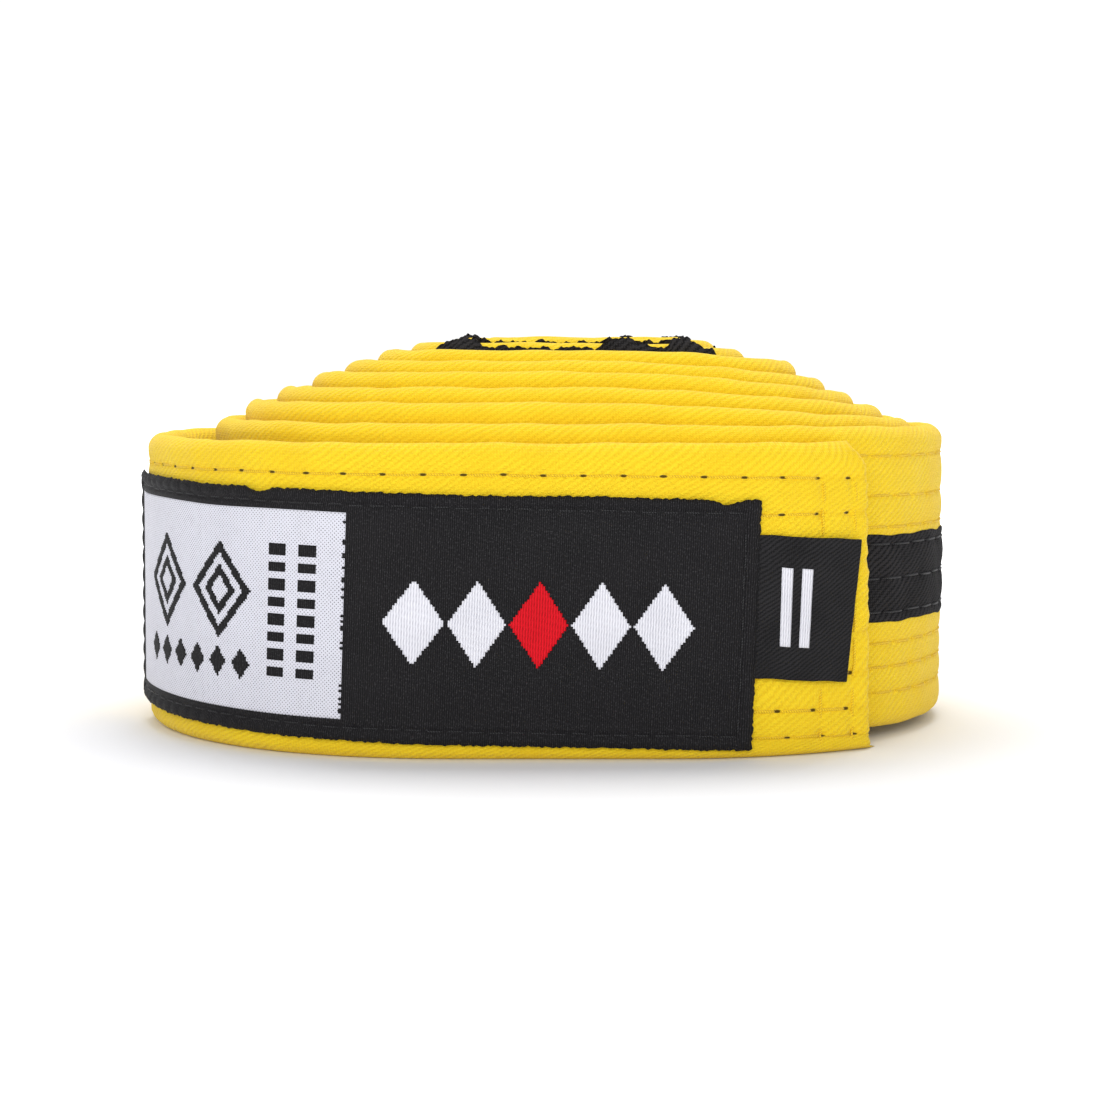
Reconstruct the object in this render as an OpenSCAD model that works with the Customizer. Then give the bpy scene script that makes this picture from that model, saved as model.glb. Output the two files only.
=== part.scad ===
// A martial arts belt rolled into an oval coil that stands on its edge.
// Z is up, the label faces -Y and the coil rests on Z = 0.
// The free end is on the outside at the front right, the other end is the middle of the coil.

/* [Belt] */
// Width of the belt, which is the height of each turn
belt_w = 40; // [38:0.5:42]
// Thickness of the cover with the plies inside it
belt_t = 3.2; // [3:0.05:3.3]
// Thickness of the cotton cover
cover_t = 0.6; // [0.5:0.02:0.65]
// Width of the black stripe along the middle
stripe_w = 11.6; // [9:0.2:12]
// Thickness of the stripe tape
stripe_t = 0.25; // [0.15:0.05:0.25]

/* [Coil] */
// Distance from one turn to the next
pitch = 4.1; // [4.1:0.02:4.2]
// Half of the depth of the outer turn, to the middle of the belt
outer_r = 41; // [41:0.5:44]
// Extra room behind the outer turn, so that it can be opened
outer_gap = 0.3; // [0.3:0.05:0.6]
// How far the outer turn bulges away at the left
bulge = 4.9; // [2:0.1:5]
// Flat steps in each half turn
arc_steps = 6; // [6:2:8]

/* [Label] */
// Height of the label
label_h = 31.6; // [28:0.2:32]
// Length of the label
label_l = 98.5; // [94:0.5:99]
// Distance from the end of the belt to the label
label_start = 17.2; // [16:0.2:17.4]
// Height of the size tag
tag_h = 18.2; // [12:0.2:20]
// Free length of the size tag
tag_l = 12.2; // [8:0.2:12.4]

/* [Hidden] */

// Turns of the coil, counted at its left-hand side
last_turn = 10;
// Height of each turn above the surface where it passes the front, from the outside in
front_lift = [0, 2.3, 4.9, 6.8, 8.8, 10.2, 11.6, 12.6, 13.2, 13.4, 13.4];
// Height of each turn where it passes the right-hand side
right_lift = [1.2, 2.0, 3.8, 5.6, 7.6, 10.0, 11.7, 12.8, 13.4, 13.4, 13.4];
// Part of a turn at which it passes the right-hand side, and at which the outer turn starts to rise
right_at = 0.75;
rise_at = 0.56;
// Part of a turn that a straight run takes at each end of its half turn
run_part = 0.05;
// Angle that the free end covers of the right-hand half turn
tail_angle = 37.5;
// Half of the cut between the free end and the coil, along the belt
cut_half = 0.2;
// Right-hand end of the innermost run
inner_end_x = 10;
// Distance from the end of the belt to the end of the stripe, under the label
stripe_start = 27;

// Layers, measured outwards from the middle of the belt
half_t = belt_t / 2;
skin = 0.02;
thread_h = 0.18;
thread_w = 0.6;
stripe_out = half_t + skin + stripe_t;
stripe_thread_out = stripe_out + skin + 0.16;
cross_in = half_t + thread_h + 0.05;
cross_out = cross_in + 0.12;
root_out = cross_in + 0.25;
label_in = root_out + 0.03;
label_out = label_in + 0.3;
weave_out = label_out + skin + 0.1;
hem_out = label_out + skin + 0.36;
label_thread_out = hem_out + skin + 0.1;
tag_in = 2.28;
tag_ply = 0.17;

// Heights of the nine lengthwise rows of stitching
lower_rows = [3.9, 7.3, 10.8];
stripe_rows = [15.6, 20, 24.4];
upper_rows = [26.8, 30.9, 36];
row_low = lower_rows[0];
row_high = upper_rows[2];

// Straight runs and the centres of the half turns
function gap_at(k) = k == 1 ? outer_gap : 0;
function back_y(k) = outer_r - pitch * (k - 1) + gap_at(k);
function front_y(k) = -back_y(k);
function left_x(k) = -(8.6 - 0.042 * k * k + (k == 1 ? bulge : 0));
function right_x(k) = k < 7 ? 14.7 : 12;

// Middle of the whole, so that the origin is under the middle of the part
right_r = (back_y(1) - front_y(2)) / 2;
right_y = (back_y(1) + front_y(2)) / 2;
x_low = left_x(1) - back_y(1) - stripe_thread_out;
x_high = right_x(1) + right_r + stripe_thread_out;
y_low = front_y(1) - label_thread_out;
y_high = back_y(1) + stripe_thread_out;
mid = [(x_low + x_high) / 2, (y_low + y_high) / 2];

// Height of the lower edge at u turns from the start of the outer front run
function ease(t) = t * t * (3 - 2 * t);
function mix(a, b, t) = a + (b - a) * t;
function lift(u) = u <= 0 ? 0 :
    let (k = floor(u), t = u - k, from = k == 0 ? rise_at : 0)
    t < right_at ? mix(front_lift[k], right_lift[k], ease(max(0, t - from) / (right_at - from)))
                 : mix(right_lift[k], front_lift[k + 1], ease((t - right_at) / (1 - right_at)));

// A station is [x, y, outward x, outward y, height]
function station(cx, cy, r, a, u) = [cx + r * cos(a) - mid[0], cy + r * sin(a) - mid[1], cos(a), sin(a), lift(u)];
function arc(cx, cy, r, a0, a1, u0, u1) = [
    for (i = [0 : arc_steps])
        station(cx, cy, r, mix(a0, a1, i / arc_steps), mix(u0, u1, i / arc_steps))
];
function left_arc(k) = arc(left_x(k), 0, back_y(k), -90, -270, k - 1 + run_part, k - 0.5 - run_part);
function right_arc(k) =
    let (r = (back_y(k) - front_y(k + 1)) / 2)
    arc(right_x(k), back_y(k) - r, r, 90, -90, k - 0.5 + run_part, k - run_part);
function moved(s, along) = [s[0] + s[3] * along, s[1] - s[2] * along, s[2], s[3], s[4]];
function between(a, b, f) = [for (i = [0 : 4]) mix(a[i], b[i], f)];

// Stations of the free end, from its tip to the cut at the left-hand side
tail_r = right_r + pitch + outer_gap;
arc_step = 180 / arc_steps;
tail_bend = floor(tail_angle / arc_step);
tail_arc = [
    for (a = [tail_angle, for (i = [tail_bend : -1 : 0]) i * arc_step])
        station(right_x(1), right_y, tail_r, -90 + a, 0)
];
outer_left = left_arc(1);
left_mid = arc_steps / 2;
cut_tail = moved(outer_left[left_mid], -cut_half);
cut_coil = moved(outer_left[left_mid], cut_half);
tail_path = concat(tail_arc, [for (i = [0 : left_mid - 1]) outer_left[i]], [cut_tail]);

// Stations of the coil, from the cut to the inner end
inner_run = [for (x = [left_x(last_turn), inner_end_x]) [x - mid[0], back_y(last_turn) - mid[1], 0, 1, 13.4]];
coil_path = concat(
    [cut_coil],
    [for (i = [left_mid + 1 : arc_steps]) outer_left[i]],
    [for (k = [1 : last_turn - 1], s = concat(right_arc(k), left_arc(k + 1))) s],
    [inner_run[1]]
);

// Part of a path, from one distance along it to another
function gap(a, b) = norm([b[0] - a[0], b[1] - a[1]]);
function reach(path, i) = i == 0 ? 0 : reach(path, i - 1) + gap(path[i - 1], path[i]);
function at_length(path, s, i = 0) =
    let (d = gap(path[i], path[i + 1]))
    s <= d || i == len(path) - 2 ? between(path[i], path[i + 1], s / d) : at_length(path, s - d, i + 1);
function run(path, s0, s1) = concat(
    [at_length(path, s0)],
    [for (i = [1 : len(path) - 2]) let (r = reach(path, i)) if (r > s0 + 0.3 && r < s1 - 0.3) path[i]],
    [at_length(path, s1)]
);
tail_l = reach(tail_path, len(tail_path) - 1);

// Closed outlines in a cross-section, as [outward, up], counter-clockwise
function strip(n0, n1, z0, z1) = [[n0, z0], [n1, z0], [n1, z1], [n0, z1]];
function row(n0, h, z) = [[n0, z - thread_w / 2], [n0 + h, z], [n0, z + thread_w / 2]];
function wrapped(h, wall, z0, z1, bevel, slit) =
    let (zm = (z0 + z1) / 2, i = h - wall) [
        [-h, zm - slit], [-h, z0 + bevel], [-h + bevel, z0], [h - bevel, z0], [h, z0 + bevel],
        [h, z1 - bevel], [h - bevel, z1], [-h + bevel, z1], [-h, z1 - bevel], [-h, zm + slit],
        [-i, zm + slit], [-i, z1 - wall], [i, z1 - wall], [i, z0 + wall], [-i, z0 + wall], [-i, zm - slit]
    ];

// Convex pieces that make up the end face of a wrapped outline
wrapped_cap = [
    [0, 1, 14, 15], [1, 2, 14], [2, 3, 13, 14], [3, 4, 13], [4, 5, 12, 13],
    [5, 6, 12], [6, 7, 11, 12], [7, 8, 11], [8, 9, 10, 11]
];
function whole_cap(outline) = [[for (j = [0 : len(outline) - 1]) j]];
function turned(face, shift) = [for (j = [len(face) - 1 : -1 : 0]) face[j] + shift];

// Sweeps an outline along stations
module sweep(path, outline, cap) {
    m = len(outline);
    last = len(path) - 1;
    points = [for (s = path, p = outline) [s[0] + s[2] * p[0], s[1] + s[3] * p[0], s[4] + p[1]]];
    sides = [
        for (i = [0 : last - 1], j = [0 : m - 1])
            let (a = i * m + j, b = i * m + (j + 1) % m)
            for (face = [[a, a + m, b + m], [a, b + m, b]]) face
    ];
    start = is_undef(cap) ? whole_cap(outline) : cap;
    end = [for (face = start) turned(face, last * m)];
    polyhedron(points, concat(sides, start, end));
}

// Sweeps one outline for each height in a list of rows
module rows(path, n0, h, heights) {
    for (z = heights) sweep(path, row(n0, h, z));
}

// Cotton cover, folded round the plies and closed by a seam under the inner stripe
cover_bevel = 0.9;
seam_half = 0.3;
module cover(path) {
    color("gold") sweep(path, wrapped(half_t, cover_t, 0, belt_w, cover_bevel, seam_half), wrapped_cap);
}

// One of the two plies inside the cover
ply_room = half_t - cover_t - 0.03;
ply_edge = cover_t + 0.3;
module ply_outer(path) {
    color("ivory") sweep(path, strip(0.03, ply_room, ply_edge, belt_w - ply_edge));
}
module ply_inner(path) {
    color("ivory") sweep(path, strip(-ply_room, -0.03, ply_edge, belt_w - ply_edge));
}

// Black tape along the middle of each face
stripe_low = (belt_w - stripe_w) / 2;
module stripe_outer(path) {
    color("dimgray") sweep(path, strip(half_t + skin, stripe_out, stripe_low, stripe_low + stripe_w));
}
module stripe_inner(path) {
    color("dimgray") sweep(path, strip(-stripe_out, -half_t - skin, stripe_low, stripe_low + stripe_w));
}

// The rank bar runs from the middle of one right-hand half turn to the middle of the next
function stations_before(k) = 1 + arc_steps / 2 + (k - 1) * 2 * (arc_steps + 1);
bar_first = stations_before(last_turn - 3) + arc_steps / 2;
bar_last = stations_before(last_turn - 2) + arc_steps / 2;
bar_path = concat(
    [between(coil_path[bar_first], coil_path[bar_first + 1], 0.35)],
    [for (i = [bar_first + 1 : bar_last]) coil_path[i]],
    [between(coil_path[bar_last], coil_path[bar_last + 1], 0.6)]
);
open_path = [for (i = [0 : bar_first]) coil_path[i]];

// The stripe and the rows of stitching end where the rank bar starts
module cover_coil() cover(coil_path);
module ply_outer_coil() ply_outer(coil_path);
module ply_inner_coil() ply_inner(coil_path);
module stripe_outer_coil() stripe_outer(open_path);
module stripe_inner_coil() stripe_inner(open_path);
module stitch_lower_coil() color("khaki") rows(open_path, half_t + skin, thread_h, lower_rows);
module stitch_stripe_coil() color("black") rows(open_path, stripe_out + skin, 0.16, stripe_rows);
module stitch_upper_coil() color("khaki") rows(open_path, half_t + skin, thread_h, upper_rows);

// Black cloth on both faces near the inner end
bar_wall = 0.35;
bar_in = half_t + skin;
bar_out = bar_in + bar_wall;
bar_over = 0.3;
module rank_bar_outer() {
    color("dimgray") sweep(bar_path, strip(bar_in, bar_out, -bar_over, belt_w + bar_over));
}
module rank_bar_inner() {
    color("dimgray") sweep(bar_path, strip(-bar_out, -bar_in, -bar_over, belt_w + bar_over));
}

// Rows of stitching across the belt, between two heights
module cross_row(s, out0, out1) {
    sweep([moved(s, -thread_w / 2), moved(s, thread_w / 2)], strip(out0, out1, row_low, row_high));
}
module rank_bar_stitching() {
    color("black") {
        cross_row(between(bar_path[0], bar_path[1], 0.25), bar_out + skin, bar_out + 0.14);
        cross_row(between(bar_path[len(bar_path) - 2], bar_path[len(bar_path) - 1], 0.7),
                  bar_out + skin, bar_out + 0.14);
    }
}
module inner_end_stitching() {
    color("khaki")
        for (f = [0.78, 0.9])
            cross_row(between(inner_run[0], inner_run[1], f), cross_in - thread_h, cross_out - thread_h);
}

// Free end of the belt
stripe_path = run(tail_path, stripe_start, tail_l);
module cover_tail() cover(tail_path);
module ply_outer_tail() ply_outer(tail_path);
module ply_inner_tail() ply_inner(tail_path);
module stripe_outer_tail() stripe_outer(stripe_path);
module stripe_inner_tail() stripe_inner(stripe_path);
module stitch_lower_tail() color("khaki") rows(tail_path, half_t + skin, thread_h, lower_rows);
module stitch_stripe_tail() color("black") rows(stripe_path, stripe_out + skin, 0.16, stripe_rows);
module stitch_upper_tail() color("khaki") rows(tail_path, half_t + skin, thread_h, upper_rows);
module tail_end_stitching() {
    color("khaki") for (s = [3.6, 8.4]) cross_row(at_length(tail_path, s), cross_in, cross_out);
}

// Woven label, which rises a little towards its left-hand end
label_low = 1.3;
label_rise = 2.1;
label_hem_w = 2.6;
function label_lift(s) = label_rise * s / label_l;
function label_run(s0, s1) =
    let (path = run(tail_path, label_start + s0, label_start + s1))
    [for (i = [0 : len(path) - 1])
        let (p = path[i])
        [p[0], p[1], p[2], p[3], label_lift(s0 + reach(path, i))]];
module on_label(s0, s1, out0, out1, z0, z1) {
    sweep(label_run(s0, s1), strip(out0, out1, label_low + z0, label_low + z1));
}
module label_ground() {
    color("black") on_label(0, label_l, label_in, label_out, 0, label_h);
}
module label_hem() {
    inner = label_hem_w + 0.01;
    color("black") {
        for (z = [0, label_h - label_hem_w])
            on_label(0, label_l, label_out + skin, hem_out, z, z + label_hem_w);
        for (s = [0, label_l - label_hem_w])
            on_label(s, s + label_hem_w, label_out + skin, hem_out, inner, label_h - inner);
    }
}

// White woven panel at the left-hand end of the label
panel_start = 51;
panel_margin = label_hem_w + 0.1;
module label_panel() {
    color("white")
        on_label(panel_start, label_l - panel_margin, label_out + skin, weave_out,
                 panel_margin, label_h - panel_margin);
}

// Patterned areas of the weave: black on the white panel, white and red on the black ground
module woven(s0, s1, z0, z1, out, thick) {
    on_label(s0, s1, out, out + thick, z0, z1);
}
mark_low = 7;
mark_high = 25.5;
module label_marks() {
    color("black")
        for (s = [[54.5, 62], [64, 75], [76.5, 87.5]]) woven(s[0], s[1], mark_low, mark_high, weave_out + skin, 0.06);
}
band_low = 10.1;
band_high = 20.7;
module label_band_white() {
    color("white")
        for (s = [[7.5, 22.6], [31, 46.1]]) woven(s[0], s[1], band_low, band_high, label_out + skin, 0.1);
}
module label_band_red() {
    color("crimson") woven(23.6, 30, band_low, band_high, label_out + skin, 0.1);
}

// Thread along the two long edges of the label
label_thread_in = 1.3;
module label_stitching() {
    color("black")
        for (z = [label_thread_in, label_h - label_thread_in])
            on_label(label_thread_in, label_l - label_thread_in, hem_out + skin, label_thread_out, z - 0.2, z + 0.2);
}

// Folded size tag, sewn under the right-hand end of the label
tag_low = 9.4;
tag_cut = 0.3;
tag_from = label_start - tag_cut - tag_l;
tag_path = run(tail_path, tag_from, label_start - tag_cut);
tag_front_in = tag_in + tag_ply + skin;
tag_out = tag_front_in + tag_ply;
module size_tag_root() {
    color("black")
        sweep(run(tail_path, label_start + 0.2, label_start + 6),
              strip(cross_in + 0.01, root_out, tag_low, tag_low + tag_h));
}
module size_tag_back() {
    color("black") sweep(tag_path, strip(tag_in, tag_in + tag_ply, tag_low, tag_low + tag_h));
}
module size_tag_front() {
    color("black") sweep(tag_path, strip(tag_front_in, tag_out, tag_low, tag_low + tag_h));
}
module size_tag_marks() {
    color("white")
        for (s = [2.6, 5.4])
            sweep(run(tail_path, label_start - s - 1.4, label_start - s),
                  strip(tag_out + skin, tag_out + skin + 0.06, tag_low + 4, tag_low + tag_h - 4));
}

cover_coil();
ply_outer_coil();
ply_inner_coil();
stripe_outer_coil();
stripe_inner_coil();
stitch_lower_coil();
stitch_stripe_coil();
stitch_upper_coil();
rank_bar_outer();
rank_bar_inner();
rank_bar_stitching();
inner_end_stitching();
cover_tail();
ply_outer_tail();
ply_inner_tail();
stripe_outer_tail();
stripe_inner_tail();
stitch_lower_tail();
stitch_stripe_tail();
stitch_upper_tail();
tail_end_stitching();
label_ground();
label_hem();
label_panel();
label_marks();
label_band_white();
label_band_red();
label_stitching();
size_tag_root();
size_tag_back();
size_tag_front();
size_tag_marks();
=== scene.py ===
"""A rolled martial arts belt: cloth, thread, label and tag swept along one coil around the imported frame.

Lengths are in millimetres until a mesh is made. A place on the belt is (s, z, n): s runs along the belt
from its free end to its inner end, z runs up across it and n runs outwards through it.
"""
import math

import bpy
import numpy as np
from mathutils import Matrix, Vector


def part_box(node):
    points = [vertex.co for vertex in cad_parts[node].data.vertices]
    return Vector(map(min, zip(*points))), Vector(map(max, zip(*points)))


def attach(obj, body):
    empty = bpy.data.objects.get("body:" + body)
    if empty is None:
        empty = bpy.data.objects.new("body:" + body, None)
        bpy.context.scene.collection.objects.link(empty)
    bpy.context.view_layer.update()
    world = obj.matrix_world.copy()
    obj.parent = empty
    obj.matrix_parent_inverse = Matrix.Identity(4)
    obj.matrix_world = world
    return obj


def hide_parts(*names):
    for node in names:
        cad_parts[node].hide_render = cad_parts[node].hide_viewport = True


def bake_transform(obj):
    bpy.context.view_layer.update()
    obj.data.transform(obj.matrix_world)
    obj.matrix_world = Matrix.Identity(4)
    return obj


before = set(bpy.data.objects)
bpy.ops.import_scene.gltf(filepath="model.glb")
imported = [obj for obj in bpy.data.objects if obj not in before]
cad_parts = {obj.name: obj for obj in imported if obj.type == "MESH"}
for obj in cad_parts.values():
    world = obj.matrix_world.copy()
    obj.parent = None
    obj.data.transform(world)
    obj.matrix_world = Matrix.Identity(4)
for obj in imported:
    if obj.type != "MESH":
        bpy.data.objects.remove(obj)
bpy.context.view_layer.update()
MM = 0.001
rng = np.random.default_rng(7)

# ---------------------------------------------------------------- the coil, as part.scad lays it out
BELT_W = 40.0
PITCH = 4.1
OUTER_R = 41.0
OUTER_GAP = 0.3
BULGE = 4.9
LAST_TURN = 10
TAIL_ANGLE = 37.5
INNER_END_X = 10.0
RUN_PART = 0.05
RIGHT_AT = 0.75
RISE_AT = 0.56
HALF_T = 1.6
FRONT_LIFT = [0, 2.3, 4.9, 6.8, 8.8, 10.2, 11.6, 12.6, 13.2, 13.4, 13.4]
RIGHT_LIFT = [1.2, 2.0, 3.8, 5.6, 7.6, 10.0, 11.7, 12.8, 13.4, 13.4, 13.4]
ROWS_LOW = [5.0, 8.4, 11.5]
ROWS_STRIPE = [15.5, 20.0, 24.5]
ROWS_HIGH = [26.8, 30.9, 36.2]
ROWS = ROWS_LOW + ROWS_STRIPE + ROWS_HIGH
STRIPE_W = 11.6
LABEL_START = 17.2
LABEL_L = 98.5
LABEL_H = 31.6
LABEL_LOW = 1.3
LABEL_RISE = 2.1
LABEL_LEAN = 0.034


def back_y(k):
    return OUTER_R - PITCH * (k - 1) + (OUTER_GAP if k == 1 else 0)


def left_x(k):
    return -(8.6 - 0.042 * k * k + (BULGE if k == 1 else 0))


def right_x(k):
    return 14.7 if k < 7 else 12.0


def ease(t):
    t = np.clip(t, 0, 1)
    return t * t * (3 - 2 * t)


def lift_at(u):
    """Height of the lower edge, u turns from the start of the outer front run."""
    u = np.clip(np.asarray(u, float), 0, LAST_TURN - 0.001)
    k = np.floor(u).astype(int)
    t = u - k
    front = np.array(FRONT_LIFT)[k]
    right = np.array(RIGHT_LIFT)[k]
    ahead = np.array(FRONT_LIFT)[k + 1]
    start = np.where(k == 0, RISE_AT, 0)
    down = front + (right - front) * ease((t - start) / (RIGHT_AT - start))
    up = right + (ahead - right) * ease((t - RIGHT_AT) / (1 - RIGHT_AT))
    return np.where(t < RIGHT_AT, down, up)


def blur(values, sigma):
    """Smooths samples along the path, holding the two ends."""
    reach = int(4 * sigma) + 1
    weights = np.exp(-0.5 * (np.arange(-reach, reach + 1) / sigma) ** 2)
    weights /= weights.sum()
    before = 2 * values[0] - values[reach:0:-1]
    after = 2 * values[-1] - values[-2:-reach - 2:-1]
    padded = np.concatenate([before, values, after])
    return np.convolve(padded, weights, "valid")


def coil_path():
    """Samples every STEP along the belt's middle: s, x and y in the row frame, and u in turns."""
    right_r = (back_y(1) + back_y(2)) / 2
    right_y = (back_y(1) - back_y(2)) / 2
    pieces = []

    def arc(cx, cy, r, a0, a1, u0, u1):
        t = np.linspace(0, 1, 400)
        a = np.radians(a0 + (a1 - a0) * t)
        pieces.append(np.stack([cx + r * np.cos(a), cy + r * np.sin(a), u0 + (u1 - u0) * t], 1))

    arc(right_x(1), right_y, right_r + PITCH + OUTER_GAP, TAIL_ANGLE - 90, -90, -0.1, 0)
    for k in range(1, LAST_TURN + 1):
        arc(left_x(k), 0, back_y(k), -90, -270, k - 1 + RUN_PART, k - 0.5 - RUN_PART)
        if k < LAST_TURN:
            r = (back_y(k) + back_y(k + 1)) / 2
            arc(right_x(k), back_y(k) - r, r, 90, -90, k - 0.5 + RUN_PART, k - RUN_PART)
    pieces.append(np.array([[INNER_END_X, back_y(LAST_TURN), LAST_TURN - 0.4]]))
    raw = np.concatenate(pieces)
    length = np.concatenate([[0], np.cumsum(np.hypot(*np.diff(raw[:, :2], axis=0).T))])
    s = np.arange(0, length[-1], STEP)
    x, y, u = (np.interp(s, length, raw[:, i]) for i in range(3))
    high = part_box("cover_coil")[1]
    x += high[0] / MM - (right_x(1) + right_r + HALF_T)
    y += high[1] / MM - (back_y(1) + HALF_T)
    return s, blur(x, 2.0 / STEP), blur(y, 2.0 / STEP), blur(u, 2.0 / STEP)


STEP = 0.25
PATH_S, PATH_X, PATH_Y, PATH_U = coil_path()
BELT_L = PATH_S[-1]
TANGENT = np.stack([np.gradient(PATH_X), np.gradient(PATH_Y)], 1)
TANGENT /= np.linalg.norm(TANGENT, axis=1)[:, None]
# The belt runs clockwise seen from above, so outwards is the tangent turned to its left
OUT_X, OUT_Y = -TANGENT[:, 1], TANGENT[:, 0]
PATH_Z = blur(lift_at(PATH_U), 3.0 / STEP)


def waves(lengths, amplitude, seed):
    """A smooth irregular function of one or two variables, with wavelengths in mm."""
    own = np.random.default_rng(seed)
    phases = own.uniform(0, 2 * math.pi, len(lengths))
    tilts = own.uniform(-0.8, 0.8, len(lengths))
    sizes = own.uniform(0.6, 1.0, len(lengths))

    def value(a, b=0.0):
        total = 0.0
        for length, phase, tilt, size in zip(lengths, phases, tilts, sizes):
            total = total + size * np.sin(2 * math.pi * (a + tilt * b) / length + phase)
        return amplitude * total / math.sqrt(len(lengths))

    return value


sway = waves([61, 43, 29, 97], 0.16, 11)
edge_sway = waves([17, 11.3, 7.1, 26], 0.10, 12)
low_edge_sway = waves([19, 12.1, 8.3, 31], 0.07, 13)
top_lean = waves([37, 23, 53], 0.22, 14)


def place(s, z, n):
    """Points of the row frame, in metres, for places on the belt."""
    s, z, n = np.broadcast_arrays(np.asarray(s, float), np.asarray(z, float), np.asarray(n, float))
    free = np.clip((s - 100) / 60, 0, 1)
    high = np.clip((z - 28) / 12, 0, 1)
    low = np.clip((10 - z) / 10, 0, 1)
    n = n + sway(s) * free + top_lean(s) * high ** 2 * (0.4 + 0.6 * free)
    x = np.interp(s, PATH_S, PATH_X) + np.interp(s, PATH_S, OUT_X) * n
    y = np.interp(s, PATH_S, PATH_Y) + np.interp(s, PATH_S, OUT_Y) * n
    over = np.maximum(-s, 0)
    x = x - TANGENT[0, 0] * over
    y = y - TANGENT[0, 1] * over
    raised = np.interp(s, PATH_S, PATH_Z)
    up = z + raised + edge_sway(s) * high ** 2 + low_edge_sway(s) * low ** 2 * np.clip(raised, 0, 1)
    return np.stack([x, y, up], -1) * MM


LOW_DRIFT = ([0, 5.0, 8.4, 11.5, 14.0], [0, 1, 1, 0.45, 0])
HIGH_DRIFT = ([31.5, 36.2, 40.0], [0, 1, 0])


def on_belt(s, z, n):
    """Like place, but rows of stitching, straight in (s, z), drift towards the edges near the free end."""
    low = 2.9 * np.exp(-s / 110) * np.interp(z, *LOW_DRIFT)
    high = 1.1 * np.exp(-s / 25) * np.interp(z, *HIGH_DRIFT)
    return place(s, z - low - high, n)


# ---------------------------------------------------------------- the belt's own relief
STITCH = 5.0
FLAT_FACE = 1.52
HOLE_DEPTH = 0.22
row_phase = {z: rng.uniform(0, STITCH) for z in ROWS}
wrinkle = waves([9.1, 6.3, 13.7, 4.9], 0.05, 15)
puff = waves([31, 47, 19], 0.05, 16)


def half_thickness(s, z):
    """Distance from the belt's middle to its face: rounded edges, pads between rows, a dip at each hole."""
    s, z = np.broadcast_arrays(np.asarray(s, float), np.asarray(z, float))
    bounds = [0.0] + ROWS + [BELT_W]
    pad = np.zeros(s.shape)
    for a, b in zip(bounds, bounds[1:]):
        inside = (z >= a) & (z <= b)
        t = np.clip((z - a) / (b - a), 0, 1)
        pad = np.where(inside, min(0.3, 0.075 * (b - a)) * np.sin(math.pi * t) ** 0.7, pad)
    for row in ROWS:
        away = (s - row_phase[row]) / STITCH
        away = (away - np.round(away)) * STITCH
        pad = pad - HOLE_DEPTH * np.exp(-(away / 0.8) ** 2 - ((z - row) / 0.45) ** 2)
    face = FLAT_FACE + pad + wrinkle(s, z) + puff(s, 2 * z)
    t = np.clip(np.minimum(z, BELT_W - z) / 2.0, 0, 1)
    return face * np.sqrt(np.clip(1 - (1 - t) ** 2, 0, 1))


def profile_heights():
    """Heights across one face, closer together at the edges and at each row of stitching."""
    edge = [0.0, 0.05, 0.18, 0.4, 0.75, 1.2, 1.7]
    z = list(edge) + [BELT_W - e for e in edge] + list(np.arange(2.3, BELT_W - 2, 0.8))
    z += [row + d for row in ROWS for d in (-0.7, -0.35, 0, 0.35, 0.7)]
    z = np.unique(np.round(z, 3))
    keep = [z[0]]
    for value in z[1:]:
        if value - keep[-1] > 0.2 or value < 2 or value > BELT_W - 2:
            keep.append(value)
    return np.array(keep)


# ---------------------------------------------------------------- mesh helpers
def new_mesh(name, points, faces, uvs=None, normals=None, **marks):
    """An object from points in metres, faces, one UV per face corner, and values that its material reads."""
    mesh = bpy.data.meshes.new(name)
    mesh.from_pydata(points.tolist(), [], faces)
    mesh.polygons.foreach_set("use_smooth", np.ones(len(mesh.polygons), bool))
    if uvs is not None:
        layer = mesh.uv_layers.new(name="weave")
        layer.data.foreach_set("uv", np.asarray(uvs, np.float32).ravel())
    for mark, values in marks.items():
        attribute = mesh.attributes.new(mark, "FLOAT", "POINT")
        attribute.data.foreach_set("value", np.asarray(values, np.float32).ravel())
    if normals is not None:
        mesh.normals_split_custom_set_from_vertices(normals.tolist())
    mesh.update()
    obj = bpy.data.objects.new(name, mesh)
    bpy.context.scene.collection.objects.link(obj)
    return obj


def grid_quads(rows, cols):
    """Quads of a tube's grid of points in row order, with the row and column of each."""
    i, j = np.meshgrid(np.arange(rows - 1), np.arange(cols), indexing="ij")
    i, j = i.ravel(), j.ravel()
    right = (j + 1) % cols
    return np.stack([i * cols + j, i * cols + right, (i + 1) * cols + right, (i + 1) * cols + j], -1), i, j


def ring_normals(points):
    """Normals of a tube's grid of points from its neighbours, pointing outwards."""
    along = np.gradient(points, axis=0)
    round_it = np.roll(points, -1, axis=1) - np.roll(points, 1, axis=1)
    normal = np.cross(round_it, along)
    return normal / np.maximum(np.linalg.norm(normal, axis=2), 1e-12)[..., None]


# Corners of one face of a grid, as steps along it and across it
CORNERS = ((0, 0), (0, 1), (1, 1), (1, 0))


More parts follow.
